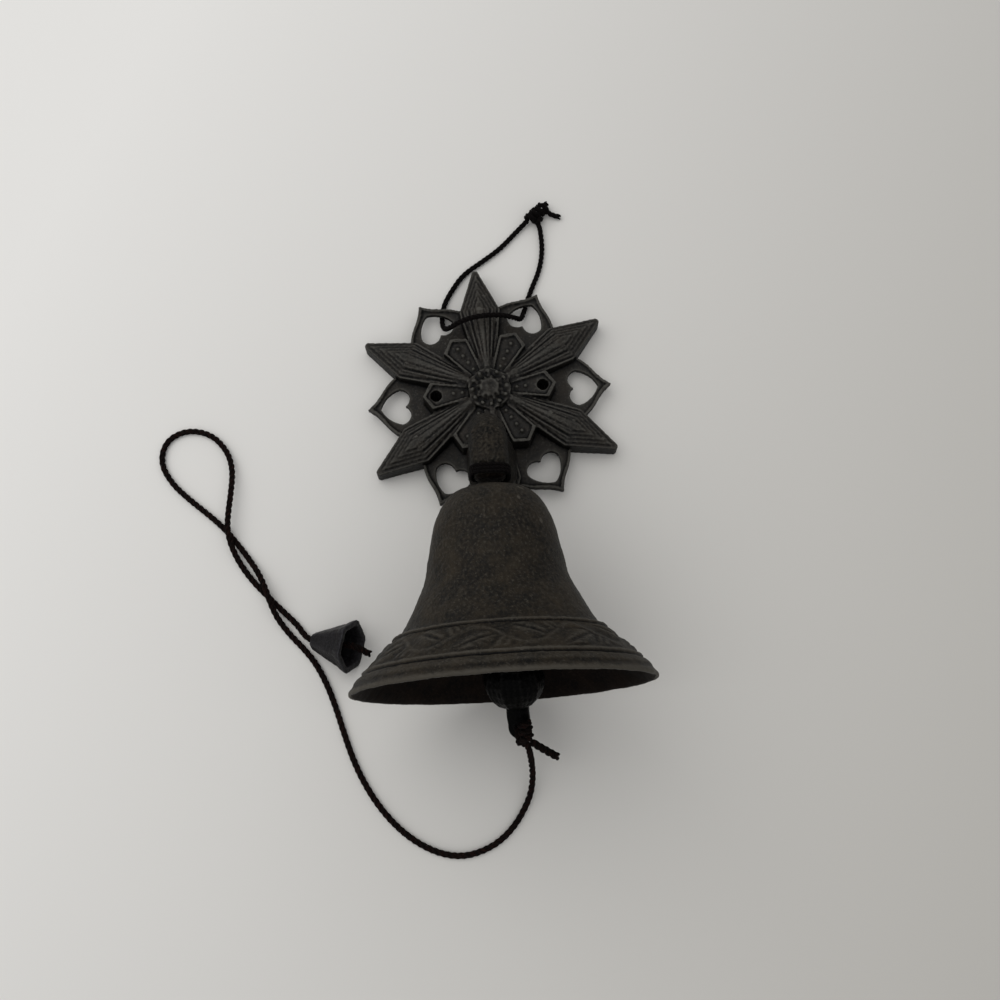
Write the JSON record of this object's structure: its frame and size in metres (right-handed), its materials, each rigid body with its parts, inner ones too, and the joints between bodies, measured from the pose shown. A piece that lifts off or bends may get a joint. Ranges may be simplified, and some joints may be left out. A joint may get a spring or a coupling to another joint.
{
  "type": "wall-mounted dinner bell",
  "caption": "Cast-iron wall bell: pierced star-shaped plate with a gooseneck arm, flared bell tied to its tip, ball clapper, pull cord with a cone weight and a hanging loop.",
  "frame": {"origin": "middle of the plate's flat back, which lies on the table or wall", "axes": "+X to the right and +Y up the wall, as seen from the front; +Z out of the wall, so the bell hangs towards -Y and lies on its back"},
  "size_m": [0.1793, 0.256, 0.1009],
  "materials": {
    "plate_iron": "dark sand-cast iron with a dull brown-black finish",
    "arm_iron": "dark sand-cast iron with a dull brown-black finish",
    "bell_iron": "dark sand-cast iron with a dull brown-black finish and faint rust",
    "clapper_iron": "rough dark cast iron",
    "weight_iron": "rough black cast iron",
    "screw_steel": "plain steel, darkened",
    "thin_cord": "black braided cord",
    "pull_cord": "brown-black twisted cord"
  },
  "bodies": {
    "plate": {"wall_plate": "plate_iron", "bracket_arm": "arm_iron", "arm_screw": "screw_steel", "arm_lashing": "thin_cord", "pull_cord": "pull_cord", "pull_weight": "weight_iron", "weight_knot": "pull_cord", "hanging_loop": "thin_cord", "hanging_knot": "thin_cord"},
    "bell": {"bell": "bell_iron", "crown_cord": "thin_cord"},
    "clapper": {"clapper_hanger": "thin_cord", "clapper": "clapper_iron", "pull_knot": "pull_cord"}
  },
  "joints": [
    {"name": "bell_swing", "type": "hinge", "parent": "plate", "child": "bell", "pos_m": [-0.00484, -0.04853, 0.0505], "axis": [-0.9986, 0.0523, 0], "range_deg": [0, 30]},
    {"name": "clapper_swing", "type": "hinge", "parent": "bell", "child": "clapper", "pos_m": [-0.0052, -0.05534, 0.0505], "axis": [-0.9877, 0.0518, -0.1478], "range_deg": [0, 50]}
  ]
}
